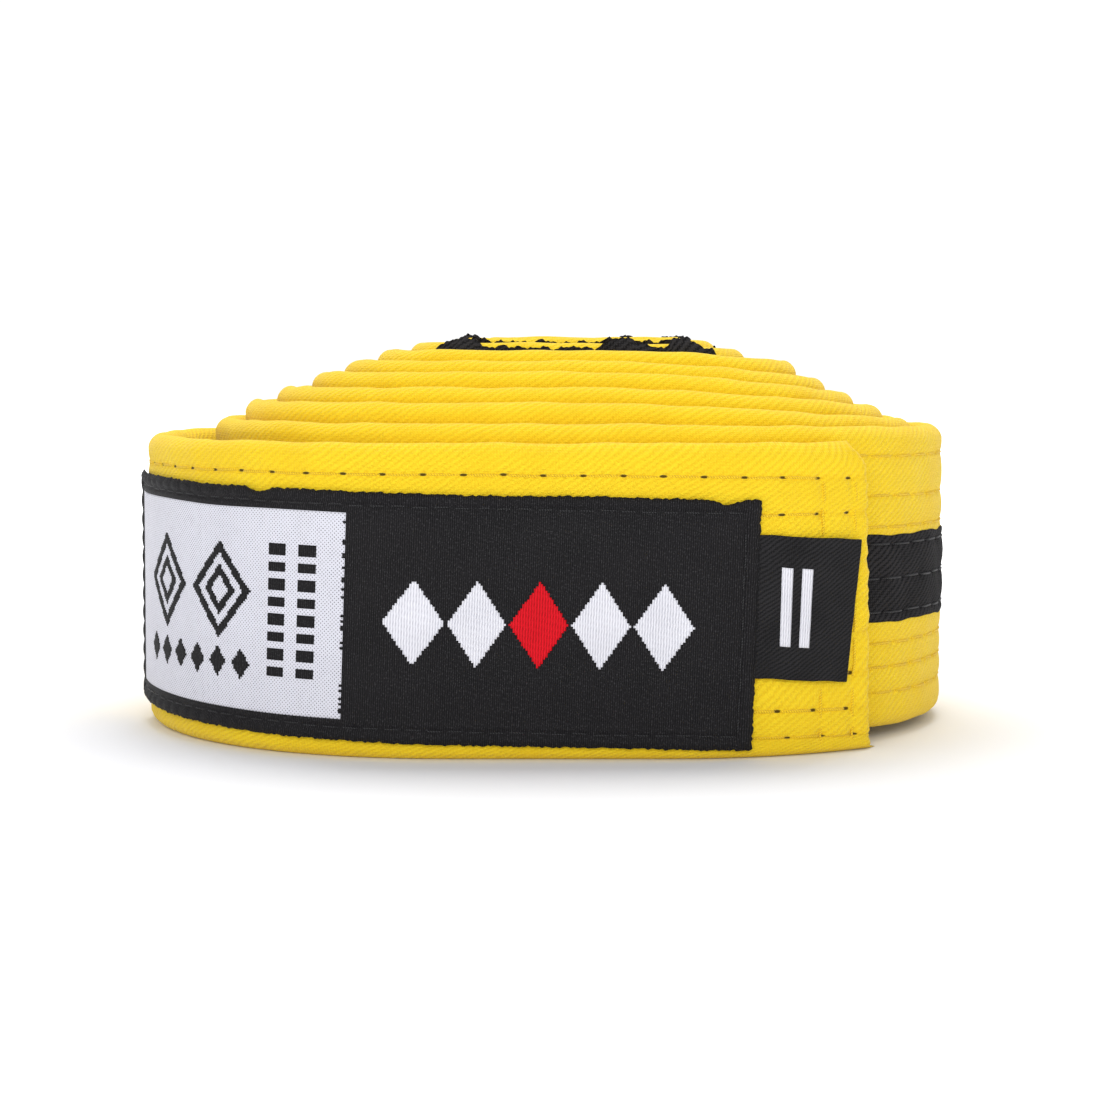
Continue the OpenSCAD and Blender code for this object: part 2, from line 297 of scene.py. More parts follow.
def tube(name, stations, z_out, z_in, out_face, in_face, warp=None, marked=False):
    """A flat closed tube of cloth along the belt: its outer face goes up through z_out, its inner down z_in.

    warp(s, z) moves its places along and across the belt, and marked is for materials that show stitching.
    """
    stations = np.asarray(stations, float)
    z_ring = np.concatenate([z_out, z_in[-2:0:-1]])
    outer = np.arange(len(z_ring)) < len(z_out)
    # One station more at each end, so that neighbouring pieces of the same cloth share their normals
    ghosted = np.concatenate([[2 * stations[0] - stations[1]], stations, [2 * stations[-1] - stations[-2]]])
    s, z = np.meshgrid(ghosted, z_ring, indexing="ij")
    n = np.where(outer, out_face(s, z), -in_face(s, z))
    points = on_belt(*(warp(s, z) if warp else (s, z)), n)
    normals = ring_normals(points)[1:-1]
    points = points[1:-1]
    rows, cols = points.shape[:2]
    steps = np.hypot(np.diff(z_ring, append=z_ring[0]), np.diff(n[1], append=n[1, 0]))
    v = np.concatenate([[0], np.cumsum(steps)])
    quads, i, j = grid_quads(rows, cols)
    uv = np.stack([np.stack([stations[i + a], v[j + b]], -1) for a, b in CORNERS], 1)
    first = list(range(cols))[::-1]
    last = [(rows - 1) * cols + k for k in range(cols)]
    cap_uv = np.array([[stations[0], v[k]] for k in first] + [[stations[-1], v[k - last[0]]] for k in last])
    values = stitch_marks(s[1:-1], z[1:-1]) if marked else {}
    return new_mesh(name, points.reshape(-1, 3), quads.tolist() + [first, last],
                    np.concatenate([uv.reshape(-1, 2), cap_uv]), normals.reshape(-1, 3), **values)


def threads(name, runs, radius, where=on_belt):
    """Short lengths of thread; each run is (s, z, n) arrays, with a place for each point of its middle."""
    sides = 6
    s, z, n = (np.stack([run[i] for run in runs]) for i in range(3))
    count, steps = s.shape
    ends = np.minimum(np.arange(steps), np.arange(steps)[::-1])
    r = radius * np.where(ends == 0, 0.45, np.where(ends == 1, 0.85, 1.0))
    turn = 2 * math.pi * np.arange(sides) / sides
    ds = np.gradient(s, axis=1)
    dz = np.gradient(z, axis=1)
    size = np.maximum(np.hypot(ds, dz), 1e-9)
    side_s, side_z = (-dz / size)[..., None], (ds / size)[..., None]
    across = r[None, :, None] * np.cos(turn)
    points = where(s[..., None] + side_s * across, z[..., None] + side_z * across,
                   n[..., None] + r[None, :, None] * np.sin(turn))
    quads, i, j = grid_quads(steps, sides)
    length = np.linalg.norm(np.diff(points[..., 0, :], axis=1), axis=-1) / MM
    u = np.concatenate([np.zeros((count, 1)), np.cumsum(length, axis=1)], 1)
    faces, uvs = [], []
    for k in range(count):
        faces += (quads + k * steps * sides).tolist()
        faces.append([k * steps * sides + t for t in range(sides)][::-1])
        faces.append([(k + 1) * steps * sides - sides + t for t in range(sides)])
        corner = np.stack([np.stack([u[k][i + a], (j + b) / sides], -1) for a, b in CORNERS], 1)
        uvs.append(corner.reshape(-1, 2))
        uvs.append(np.zeros((2 * sides, 2)))
    return new_mesh(name, points.reshape(-1, 3), faces, np.concatenate(uvs))


def stitch_line(s0, s1, z0, z1, face, phase, pitch, side, seed, sink=0.3):
    """Runs of one row of stitches over a face, along the belt or across it."""
    own = np.random.default_rng(seed)
    lift = 0.05
    gap = 0.12
    length = math.hypot(s1 - s0, z1 - z0)
    t = np.linspace(0, 1, 9)
    runs = []
    at = phase % pitch
    while at + pitch <= length + 0.01:
        a = (at + gap) / length
        b = (at + pitch - gap) / length
        f = a + (b - a) * t
        aside = own.uniform(-0.09, 0.09) + own.uniform(-0.07, 0.07) * (t - 0.5)
        along_z = abs(z1 - z0) > abs(s1 - s0)
        s = s0 + (s1 - s0) * f + (aside if along_z else 0)
        z = z0 + (z1 - z0) * f + (0 if along_z else aside)
        rise = lift * own.uniform(0.6, 1.3) - sink * np.abs(2 * t - 1) ** 6
        middle = face(s[4:5], z[4:5])
        n = 0.5 * (face(s, z) + middle) + rise
        runs.append((s, z, side * n))
        at += pitch
    return runs


# ---------------------------------------------------------------- where the pieces are cut
SPLIT_TAIL = 172.0
SPLIT_FINE = 480.0
BAR_TURNS = (6.773, 7.79)
bar_from, bar_to = (np.interp(u, PATH_U, PATH_S) for u in BAR_TURNS)
END_STEPS = [0.0, 0.12, 0.3, 0.6, 1.0]
fine_tail = np.concatenate([END_STEPS, np.arange(1.4, SPLIT_TAIL - 0.2, 0.4), [SPLIT_TAIL]])
fine_turn = np.linspace(SPLIT_TAIL, SPLIT_FINE, int((SPLIT_FINE - SPLIT_TAIL) / 0.46))
curve = np.abs(np.gradient(np.unwrap(np.arctan2(TANGENT[:, 1], TANGENT[:, 0])), STEP))
core = [SPLIT_FINE]
while core[-1] < BELT_L - 1.6:
    core.append(core[-1] + float(np.clip(0.1 / max(np.interp(core[-1], PATH_S, curve), 1e-6), 0.7, 1.6)))
inner_end = BELT_L - np.array([1.4, 1.0, 0.6, 0.3, 0.12, 0.02])
core = np.array([c for c in core if c < BELT_L - 1.5] + list(inner_end))

heights = profile_heights()
inner_heights = np.unique(np.concatenate([heights[::2], [heights[-1]], ROWS]))
coarse = np.array([0, 0.05, 0.18, 0.4, 0.75, 1.2, 1.7, 3.3, 6.6, 10.2, 14.2, 16, 20, 24, 25.8, 27.4, 30.9,
                   33.5, 35, 36, 36.6, 37.3, 38.3, 38.8, 39.25, 39.6, 39.82, 39.95, 40])


def stitch_marks(s, z):
    """For the material: distance to the nearest row of stitching, in mm, and place along it, in stitches.

    A row whose holes have closed up is marked a little further away.
    """
    rows = np.array(ROWS)
    nearest = np.argmin(np.abs(z[..., None] - rows), axis=-1)
    along = (s - np.array([row_phase[row] for row in ROWS])[nearest]) / STITCH
    at = rows[nearest]
    open_row = (at == ROWS[-1]) & (s < OPEN_HOLES) | ((at < 15) | (at > 30)) & (s < LABEL_START + 2)
    return {"across": np.abs(z - rows[nearest]) + np.where(open_row, 0, CLOSED_HOLE), "along": along}


OPEN_HOLES = 128
# Half the width of a hole in mm, and how much further away a closed row is marked
CLOSED_HOLE = 0.17
END_ROWS = [3.6, 8.4]
END_STITCH = 4.2


def near_end(s, z):
    """How far the rows of stitching across the free end pull the faces in."""
    band = ease((z - 2.4) / 1.2) * ease((37 - z) / 1.2)
    groove = sum(np.exp(-((s - row) / 0.55) ** 2) for row in END_ROWS)
    away = (z - 1.2) / END_STITCH
    away = (away - np.round(away)) * END_STITCH
    holes = sum(np.exp(-((s - row) / 0.5) ** 2 - (away / 0.5) ** 2) for row in END_ROWS)
    return band * (0.16 * groove + HOLE_DEPTH * holes)


def belt_face(s, z):
    """The cover's face, rounded off at both ends of the belt."""
    end = np.minimum(np.clip(s / 1.5, 0, 1), np.clip((BELT_L - s) / 1.5, 0, 1))
    rounding = np.sqrt(np.clip(1 - (1 - end) ** 2, 0.001, 1))
    return np.maximum((half_thickness(s, z) - near_end(s, z)) * rounding, 0.02)


def slant(s, z):
    """Places on the free end, moved to its uneven cut: a slant, a cut corner and a small frayed point."""
    start = 1.1 * z / BELT_W + 2.6 * np.clip((z - 37.2) / 2.6, 0, 1) - 1.7 * np.exp(-z / 0.6)
    start = start + 0.12 * np.sin(z * 2.1) + 0.08 * np.sin(z * 5.3 + 1)
    return s + start * np.clip(1 - s / 13, 0, 1) ** 1.5, z


cover_tail = tube("belt_cover_tail", fine_tail, heights, inner_heights, belt_face, belt_face, slant,
                  marked=True)
cover_turn = tube("belt_cover_outer_turn", fine_turn, heights, coarse, belt_face, belt_face, marked=True)
cover_core = tube("belt_cover_inner_turns", core, coarse, coarse, belt_face, belt_face, marked=True)

# ---------------------------------------------------------------- stage, camera and light
scene = bpy.context.scene
scene.view_settings.view_transform = "Standard"
camera_data = bpy.data.cameras.new("camera")
camera_data.lens = 81.8
camera_data.sensor_width = 36
camera_data.clip_start = 0.01
CAMERA_DOWN = 4.64
camera = bpy.data.objects.new("camera", camera_data)
camera.location = (0.00048, -0.3546, 0.052)
camera.rotation_euler = (math.radians(90 - CAMERA_DOWN), 0, 0)
scene.collection.objects.link(camera)
scene.camera = camera


def area_light(name, size, power, place_at, aim):
    data = bpy.data.lights.new(name, "AREA")
    data.shape = "RECTANGLE"
    data.size, data.size_y = size
    data.energy = power
    light = bpy.data.objects.new(name, data)
    light.location = place_at
    light.rotation_euler = (Vector(aim) - Vector(place_at)).to_track_quat("-Z", "Y").to_euler()
    scene.collection.objects.link(light)


area_light("overhead", (0.6, 0.4), 4.1, (0.02, 0.26, 0.75), (0, 0, 0.0))
area_light("front", (0.7, 0.5), 4.4, (-0.06, -0.95, 0.36), (0, 0, 0.02))
world = bpy.data.worlds.new("studio")
world.use_nodes = True
world.node_tree.nodes["Background"].inputs[0].default_value = (1, 1, 1, 1)
world.node_tree.nodes["Background"].inputs[1].default_value = 0.58
scene.world = world


# ---------------------------------------------------------------- materials
class Cloth:
    """A material built node by node; places on it are millimetres of the weave's own UV map."""

    def __init__(self, name, roughness, sheen=0.0, specular=0.3):
        self.material = bpy.data.materials.new(name + "_look")
        self.material.use_nodes = True
        self.tree = self.material.node_tree
        self.shader = self.tree.nodes["Principled BSDF"]
        self.shader.inputs["Roughness"].default_value = roughness
        self.shader.inputs["Specular IOR Level"].default_value = specular
        if sheen:
            self.shader.inputs["Sheen Weight"].default_value = sheen
            self.shader.inputs["Sheen Roughness"].default_value = 0.45
        uv = self.tree.nodes.new("ShaderNodeUVMap")
        uv.uv_map = "weave"
        split = self.tree.nodes.new("ShaderNodeSeparateXYZ")
        self.tree.links.new(uv.outputs[0], split.inputs[0])
        self.flat = uv.outputs[0]
        self.u, self.v = split.outputs[0], split.outputs[1]

    def put(self, socket, value):
        if isinstance(value, bpy.types.NodeSocket):
            self.tree.links.new(value, socket)
        else:
            socket.default_value = value

    def math(self, operation, a, b=0.0, c=0.0):
        node = self.tree.nodes.new("ShaderNodeMath")
        node.operation = operation
        for socket, value in zip(node.inputs, (a, b, c)):
            self.put(socket, value)
        return node.outputs[0]

    def add(self, a, b):
        return self.math("ADD", a, b)

    def times(self, a, b):
        return self.math("MULTIPLY", a, b)

    def wave(self, x, pitch, phase=0.0):
        """0 to 1 and back once every pitch."""
        angle = self.math("MULTIPLY_ADD", x, 2 * math.pi / pitch, phase)
        return self.math("MULTIPLY_ADD", self.math("SINE", angle), 0.5, 0.5)

    def noise(self, size, detail, rough=0.5):
        """0 to 1, with patches of about that size in mm."""
        node = self.tree.nodes.new("ShaderNodeTexNoise")
        self.tree.links.new(self.flat, node.inputs["Vector"])
        node.inputs["Scale"].default_value = 1 / size
        node.inputs["Detail"].default_value = detail
        node.inputs["Roughness"].default_value = rough
        return node.outputs[0]

    def step(self, x, low, high):
        node = self.tree.nodes.new("ShaderNodeMapRange")
        node.interpolation_type = "SMOOTHSTEP"
        for socket, value in zip(node.inputs, (x, low, high, 0.0, 1.0)):
            self.put(socket, value)
        return node.outputs[0]

    def mix(self, factor, a, b):
        node = self.tree.nodes.new("ShaderNodeMix")
        node.data_type = "RGBA"
        self.put(node.inputs[0], factor)
        for socket, value in ((node.inputs[6], a), (node.inputs[7], b)):
            self.put(socket, value if isinstance(value, bpy.types.NodeSocket) else (*value, 1.0))
        return node.outputs[2]

    def mark(self, name):
        node = self.tree.nodes.new("ShaderNodeAttribute")
        node.attribute_name = name
        return node.outputs["Fac"]

    def finish(self, colour, height, depth, roughness=None):
        """The material, with height as a bump; depth is in metres."""
        self.put(self.shader.inputs["Base Color"], colour)
        bump = self.tree.nodes.new("ShaderNodeBump")
        bump.inputs["Strength"].default_value = 1.0
        bump.inputs["Distance"].default_value = depth
        self.tree.links.new(height, bump.inputs["Height"])
        self.tree.links.new(bump.outputs[0], self.shader.inputs["Normal"])
        if roughness is not None:
            self.put(self.shader.inputs["Roughness"], roughness)
        return self.material


def plain(name, colour, roughness):
    mat = bpy.data.materials.new(name)
    mat.use_nodes = True
    shader = mat.node_tree.nodes["Principled BSDF"]
    shader.inputs["Base Color"].default_value = (*colour, 1)
    shader.inputs["Roughness"].default_value = roughness
    return mat


def floor_white():
    """White paper with painted light: it glows more and more away from the belt, so that it fades into the
    backdrop.
    """
    material = plain("floor_white", (0.86, 0.86, 0.87), 0.9)
    tree = material.node_tree
    shader = tree.nodes["Principled BSDF"]
    shader.inputs["Emission Color"].default_value = (1, 1, 1, 1)
    where = tree.nodes.new("ShaderNodeTexCoord")
    distance = tree.nodes.new("ShaderNodeVectorMath")
    distance.operation = "LENGTH"
    tree.links.new(where.outputs["Object"], distance.inputs[0])
    fade = tree.nodes.new("ShaderNodeMapRange")
    fade.interpolation_type = "SMOOTHSTEP"
    for socket, value in zip(list(fade.inputs)[1:5], (0.09, 0.4, 0.02, 0.7)):
        socket.default_value = value
    tree.links.new(distance.outputs["Value"], fade.inputs[0])
    # Painted light: the floor's glow, faint near the belt and strong far from it
    tree.links.new(fade.outputs[0], shader.inputs["Emission Strength"])
    return material


# Sine and cosine of the angle of the twill's ribs, 35 degrees
RIB_SINE, RIB_COSINE = 0.574, 0.819


def twill(name, light, dark, pitch, depth, roughness, sheen=0.0, stitched=False, contrast=1.0, specular=0.2):
    """Soft diagonal ribs that rise to the right at 35 degrees, broken up by the yarns that make them, with
    painted shade in their hollows.
    """
    c = Cloth(name, roughness, sheen, specular)
    warp = c.math("MULTIPLY_ADD", c.noise(1.7, 2.0), 0.5, -0.25)
    drift = c.math("MULTIPLY_ADD", c.noise(14.0, 1.0), 1.6, -0.8)
    diagonal = c.add(c.add(c.times(c.u, RIB_SINE), c.times(c.v, RIB_COSINE)), c.add(warp, drift))
    rib = c.wave(diagonal, pitch)
    yarn_u = c.wave(c.add(c.u, warp), pitch * 0.52)
    yarn_v = c.wave(c.add(c.v, warp), pitch * 0.44)
    grain = c.noise(pitch * 0.45, 2.0, rough=0.7)
    weak = c.step(c.noise(7.0, 2.0), 0.25, 0.7)
    ribs = c.times(rib, c.math("MULTIPLY_ADD", weak, 0.35, 0.2))
    height = c.add(ribs, c.add(c.times(c.times(yarn_u, yarn_v), 0.4), c.times(grain, 0.7)))
    # Darker where the weave is low: painted shade in its hollows, plus random mottling from the noise
    tone = c.add(c.times(c.math("SUBTRACT", 1.0, c.step(height, 0.1, 1.0)), 0.6 * contrast),
                 c.times(c.noise(8.0, 3.0), 0.3))
    if stitched:
        across = c.mark("across")
        # Painted shade along the groove of each row of stitching
        tone = c.add(tone, c.times(c.math("SUBTRACT", 1.0, c.step(across, 0.0, 0.6)), 0.15))
    colour = c.mix(c.math("MINIMUM", tone, 1.0), light, dark)
    if stitched:
        part = c.math("FRACT", c.add(c.mark("along"), 0.5))
        ahead = c.times(c.math("ABSOLUTE", c.math("SUBTRACT", part, 0.5)), STITCH / 0.5)
        aside = c.times(across, 1 / CLOSED_HOLE)
        reach = c.math("POWER", c.add(c.math("POWER", ahead, 2.0), c.math("POWER", aside, 2.0)), 0.5)
        hole = c.math("SUBTRACT", 1.0, c.step(reach, 0.65, 1.2))
        # Painted shade: each needle hole darkened towards black
        colour = c.mix(hole, colour, tuple(0.13 * part for part in dark))
        height = c.math("SUBTRACT", height, c.times(hole, 1.2))
    return c.finish(colour, height, depth)


def ribbed(name, light, dark, pitch, depth, roughness, sheen=0.0, specular=0.5, painted_glints=0.0):
    """Satin weave: fine upright ribs, each yarn a little different, with painted glints where floats would
    catch light.
    """
    c = Cloth(name, roughness, sheen, specular)
    warp = c.math("MULTIPLY_ADD", c.noise(1.4, 2.0), 0.16, -0.08)
    rib = c.wave(c.add(c.u, warp), pitch)
    floats = c.wave(c.add(c.v, c.times(c.u, 2.3)), pitch * 2.6)
    grain = c.noise(0.3, 1.0)
    height = c.add(c.times(rib, 0.7), c.add(c.times(floats, 0.2), c.times(grain, 0.25)))
    # Lighter with the ribs' height: painted shade between the ribs, mixed with random tone from the noise
    tone = c.add(c.times(height, 0.7), c.times(c.noise(5.0, 3.0), 0.3))
    colour = c.mix(c.step(tone, 0.15, 0.85), dark, light)
    if painted_glints:
        # Painted glints: light specks where the satin's floats would catch light
        caught = c.step(c.add(c.noise(0.22, 1.0), c.times(rib, 0.12)), 0.62, 0.78)
        colour = c.mix(c.times(caught, painted_glints), colour, (0.16, 0.155, 0.165))
    return c.finish(colour, height, depth, c.math("MULTIPLY_ADD", rib, -0.1, roughness + 0.05))


def dotted(name, light, dark, pitch, depth, roughness):
    """White weave with a fine diagonal lattice of the dark ground showing between its floats."""
    c = Cloth(name, roughness, 0.1, 0.4)
    warp = c.math("MULTIPLY_ADD", c.noise(1.2, 1.0), 0.12, -0.06)
    a = c.wave(c.add(c.add(c.u, c.v), warp), pitch)
    b = c.wave(c.add(c.math("SUBTRACT", c.u, c.v), warp), pitch)
    both = c.times(a, b)
    dots = c.step(c.add(both, c.math("MULTIPLY_ADD", c.noise(0.9, 1.0), 0.3, -0.15)), 0.55, 0.85)
    fine = c.wave(c.u, 0.24)
    height = c.add(c.times(fine, 0.4), c.math("SUBTRACT", 1.0, dots))
    shade = c.mix(c.times(c.noise(6.0, 3.0), 0.5), light, tuple(0.8 * part for part in light))
    return c.finish(c.mix(dots, shade, dark), height, depth)


def spun(name, light, dark, roughness, sheen=0.1):
    """Thread of two twisted strands, with painted shade in the groove between them."""
    c = Cloth(name, roughness, sheen)
    twist = c.wave(c.add(c.u, c.times(c.v, 0.7)), 0.35)
    # Darker where the twist is low: painted shade between the strands
    colour = c.mix(c.math("SUBTRACT", 1.0, twist), light, dark)
    return c.finish(colour, twist, 0.00006)


YELLOW = (0.92, 0.675, 0.021)
YELLOW_DARK = (0.74, 0.44, 0.006)
BLACK = (0.036, 0.034, 0.036)
BLACK_DARK = (0.002, 0.002, 0.0025)
yellow_cotton = twill("yellow_cotton", YELLOW, YELLOW_DARK, 0.75, 0.00014, 0.9, 0.12, stitched=True)
black_tape = twill("black_tape", BLACK, BLACK_DARK, 0.75, 0.00014, 0.85, stitched=True, contrast=1.6,
                   specular=0.1)
black_cotton = twill("black_cotton", BLACK, BLACK_DARK, 0.7, 0.00014, 0.85, contrast=1.6, specular=0.1)
tag_black = twill("tag_black", (0.026, 0.025, 0.027), BLACK_DARK, 0.5, 0.00010, 0.65,
                  contrast=1.7, specular=0.15)
ply_cotton = twill("ply_cotton", (0.72, 0.68, 0.58), (0.45, 0.41, 0.33), 0.8, 0.00008, 0.9, 0.1)
# The label's satin gets painted glints on its floats
label_black = ribbed("label_black", (0.013, 0.012, 0.0135), (0.002, 0.002, 0.0025), 0.27, 0.00007, 0.6,
                     specular=0.14, painted_glints=0.16)
label_white = dotted("label_white", (0.72, 0.72, 0.80), (0.10, 0.10, 0.12), 0.5, 0.00005, 0.55)
mark_white = ribbed("mark_white", (0.80, 0.80, 0.86), (0.50, 0.50, 0.56), 0.34, 0.00006, 0.5, 0.1)
label_red = ribbed("label_red", (0.76, 0.003, 0.014), (0.40, 0.001, 0.005), 0.34, 0.00008, 0.6,
                   specular=0.15)
yellow_thread = spun("yellow_thread", (0.93, 0.66, 0.02), (0.72, 0.43, 0.006), 0.7)
black_thread = spun("black_thread", (0.040, 0.039, 0.042), (0.004, 0.004, 0.005), 0.5, 0.0)


def finish_piece(obj, material, body, *nodes, slot=None):
    """Gives a piece its material, parents it to its body's empty or, for "coil to tail" and "tail to tag",
    only bakes its transform, and hides the CAD nodes it stands for.
    """
    obj.data.materials.append(material)
    if body == "coil to tail":
        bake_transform(obj)
    elif body == "tail to tag":
        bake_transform(obj)
    else:
        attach(obj, body)
    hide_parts(*nodes)


finish_piece(cover_tail, yellow_cotton, "coil to tail", "cover_tail")
finish_piece(cover_turn, yellow_cotton, "coil", "cover_coil")
finish_piece(cover_core, yellow_cotton, "coil")


# ---------------------------------------------------------------- plies inside the cover
def ply(name, stations, outer, body, node):
    """One layer of cotton, cut a little narrower than the cover."""
    low_n, high_n = (0.05, 0.9) if outer else (-0.9, -0.05)
    z = np.array([0.95, 1.15, 10, 20, 30, 38.85, 39.05])
    made = tube(name, stations, z, z, lambda s, z: high_n + 0 * s, lambda s, z: -low_n + 0 * s)
    finish_piece(made, ply_cotton, body, node)


tail_coarse = np.arange(6.0, SPLIT_TAIL + 0.1, 2.0)
coil_coarse = np.concatenate([np.arange(SPLIT_TAIL + 0.5, SPLIT_FINE, 2.5), core[core < BELT_L - 2][::2]])
ply("ply_outer_of_tail", tail_coarse, True, "coil to tail", "ply_outer_tail")
ply("ply_inner_of_tail", tail_coarse, False, "coil to tail", "ply_inner_tail")
ply("ply_outer_of_coil", coil_coarse, True, "coil", "ply_outer_coil")
ply("ply_inner_of_coil", coil_coarse, False, "coil", "ply_inner_coil")

# ---------------------------------------------------------------- the black stripe along both faces
STRIPE_FROM = 27.0
TAPE_RIM = 0.05
TAPE_RISE = 0.21
stripe_low = (BELT_W - STRIPE_W) / 2
STRIPE_RIM = np.array([0, 0.06, 0.2, 0.45, 0.8])
stripe_z = np.unique(np.concatenate([
    stripe_low + STRIPE_RIM, stripe_low + STRIPE_W - STRIPE_RIM,
    [15.2, 15.5, 15.8, 16.6, 17.6, 18.6, 19.6, 20, 20.4, 21.4, 22.4, 23.4, 24.2, 24.5, 24.8]]))
stripe_sway = waves([13.7, 8.9, 5.3, 21], 0.16, 21)


def stripe_edges(s, z):
    """The tape's two edges wander a little."""
    t = (z - stripe_low) / STRIPE_W
    return s, z + stripe_sway(s) * (1 - t) ** 2 + stripe_sway(s + 300) * t ** 2


def tape_face(s, z):
    """The tape's own face over the cover, thinning at its edges."""
    t = np.clip(np.minimum(z - stripe_low, stripe_low + STRIPE_W - z) / 0.45, 0, 1)
    return belt_face(s, z) + TAPE_RIM + TAPE_RISE * np.sqrt(np.clip(1 - (1 - t) ** 2, 0, 1))


def tape_back(s, z):
    """The tape's back, a little inside the cover's face, as seen from the other side of the belt."""
    return TAPE_RIM - belt_face(s, z)


def stripe(name, stations, outer, body, node):
    faces = (tape_face, tape_back) if outer else (tape_back, tape_face)
    made = tube(name, stations, stripe_z, stripe_z, *faces, stripe_edges, marked=True)
    finish_piece(made, black_tape, body, node)


tail_tape = fine_tail[fine_tail > STRIPE_FROM]
open_core = core[core < bar_from - 0.4]
coil_tape = np.concatenate([fine_turn, open_core[1:]])
stripe("stripe_outer_of_tail", tail_tape, True, "coil to tail", "stripe_outer_tail")
stripe("stripe_inner_of_tail", tail_tape[::2], False, "coil to tail", "stripe_inner_tail")
stripe("stripe_outer_of_coil", coil_tape, True, "coil", "stripe_outer_coil")
stripe("stripe_inner_of_coil", coil_tape[::2], False, "coil", "stripe_inner_coil")


# ---------------------------------------------------------------- thread of the nine long rows
def long_rows(name, rows, s0, s1, face, material, body, node, sides=(1,)):
    """Stitches of some long rows from s0 to s1: side 1 is the outer face and -1 the inner one."""
    radius = 0.15
    runs = []
    for row in rows:
        for side in sides:
            start = s0 + (row_phase[row] - s0) % STITCH
            runs += stitch_line(start, s1, row, row, face, 0.0, STITCH, side, seed=int(row * 10 + side + 2))
    finish_piece(threads(name, runs, radius), material, body, node)


both = (1, -1)
long_rows("stitches_low_tail", ROWS_LOW, 2.5, SPLIT_TAIL, belt_face, yellow_thread, "coil to tail",
          "stitch_lower_tail", both)
long_rows("stitches_high_tail", ROWS_HIGH, 4.5, SPLIT_TAIL, belt_face, yellow_thread, "coil to tail",
          "stitch_upper_tail", both)
long_rows("stitches_stripe_tail", ROWS_STRIPE, STRIPE_FROM + 1, SPLIT_TAIL, tape_face, black_thread,
          "coil to tail", "stitch_stripe_tail", both)
long_rows("stitches_low_coil", ROWS_LOW, SPLIT_TAIL, SPLIT_FINE, belt_face, yellow_thread, "coil",
          "stitch_lower_coil")
long_rows("stitches_high_coil", ROWS_HIGH, SPLIT_TAIL, SPLIT_FINE, belt_face, yellow_thread, "coil",
          "stitch_upper_coil")
long_rows("stitches_stripe_coil", ROWS_STRIPE, SPLIT_TAIL, SPLIT_FINE, tape_face, black_thread, "coil",
          "stitch_stripe_coil")

# Two rows across the free end, on both faces, and two across the inner end
runs = []
for k, row in enumerate(END_ROWS):
    for side in both:
        runs += stitch_line(row, row, 1.2, 37.6, belt_face, 1.3, END_STITCH, side, seed=70 + 2 * k + side)
finish_piece(threads("stitches_across_free_end", runs, 0.17), yellow_thread, "coil to tail",
             "tail_end_stitching")
runs = []
for k, back in enumerate((3.0, 7.2)):
    for side in both:
        at = BELT_L - back
        runs += stitch_line(at, at, 2.4, 38.0, belt_face, 0.0, END_STITCH, side, seed=80 + 2 * k + side)
finish_piece(threads("stitches_across_inner_end", runs, 0.12), yellow_thread, "coil", "inner_end_stitching")

# ---------------------------------------------------------------- rank bar near the inner end
bar_fray = waves([2.9, 1.9, 4.7, 7.9, 0.83], 0.42, 31)
bar_fold = waves([6.1, 3.7, 11.3], 0.45, 32)
bar_cut = waves([3.1, 1.7, 5.3], 0.5, 33)
BAR_OVER = 0.3
BAR_FACE = 1.66
BAR_T = 0.3
# Where the raw edges are crumpled over the belt, and how far to each side, in mm from the belt's middle
CRUMPLES = ((-11.0, 2.6), (10.5, 2.8), (18.5, 2.6))
bar_z = np.unique(np.concatenate([
    np.array([0, 0.04, 0.2, 0.6, 1.2]) - BAR_OVER, np.arange(2.5, 36, 2.5),
    BELT_W + BAR_OVER - np.array([0, 0.04, 0.16, 0.32, 0.5, 0.7, 0.95, 1.2, 1.5, 1.8, 2.2, 2.7, 3.3])]))


def crumple(s):
    x = np.interp(s, PATH_S, PATH_X)
    return np.clip(sum(np.exp(-((x - at) / width) ** 2) for at, width in CRUMPLES), 0, 1)


def bar_layer(side):
    """The two faces of the cloth on one side, and the place of its frayed edges, crumpled here and there."""
    seed = 0 if side > 0 else 400
    low = 0.95 if side > 0 else 0.15

    def surface(s, z):
        top = np.clip((z - 38.2) / 2.0, 0, 1)
        fold = np.clip(0.12 + 0.75 * crumple(s) + 0.3 * bar_fold(s + seed), 0, 1)
        return BAR_FACE - 1.5 * fold * top ** 1.5 + 0.1 * bar_fray(3 * s + seed, z)

    def edges(s, z):
        near = np.clip(1 - np.minimum(s - bar_from, bar_to - s) / 4, 0, 1) ** 2
        sign = np.where(s - bar_from < bar_to - s, -1, 1)
        x = np.interp(s, PATH_S, PATH_X)
        round_the_ends = ease((-13.0 - x) / 2) + ease((x - 21.5) / 2)
        rise = 0.7 * bar_fray(s + seed) - low + (low + 0.5) * crumple(s) - 1.3 * round_the_ends
        rise = rise * np.clip((z - 38.2) / 2, 0, 1)
        return s + sign * near * bar_cut(z + seed), z + rise

    def far(s, z):
        return surface(s, z) + BAR_T

    def near(s, z):
        return -surface(s, z)

    return (far, near) if side > 0 else (near, far), edges


bar_steps = np.arange(bar_from, bar_to, 0.35)
for side, word in ((1, "outer"), (-1, "inner")):
    faces, edges = bar_layer(side)
    bar = tube("rank_bar_" + word + "_cloth", bar_steps, bar_z, bar_z, *faces, edges)
    finish_piece(bar, black_cotton, "coil", "rank_bar_" + word)
runs = []
for at in (bar_from + 2.0, bar_to - 2.0):
    runs += stitch_line(at, at, 1.0, 37.0, lambda s, z: BAR_FACE + BAR_T + 0 * s, 0.0, 3.8, 1, seed=int(at))
finish_piece(threads("stitches_of_rank_bar", runs, 0.12), black_thread, "coil", "rank_bar_stitching")

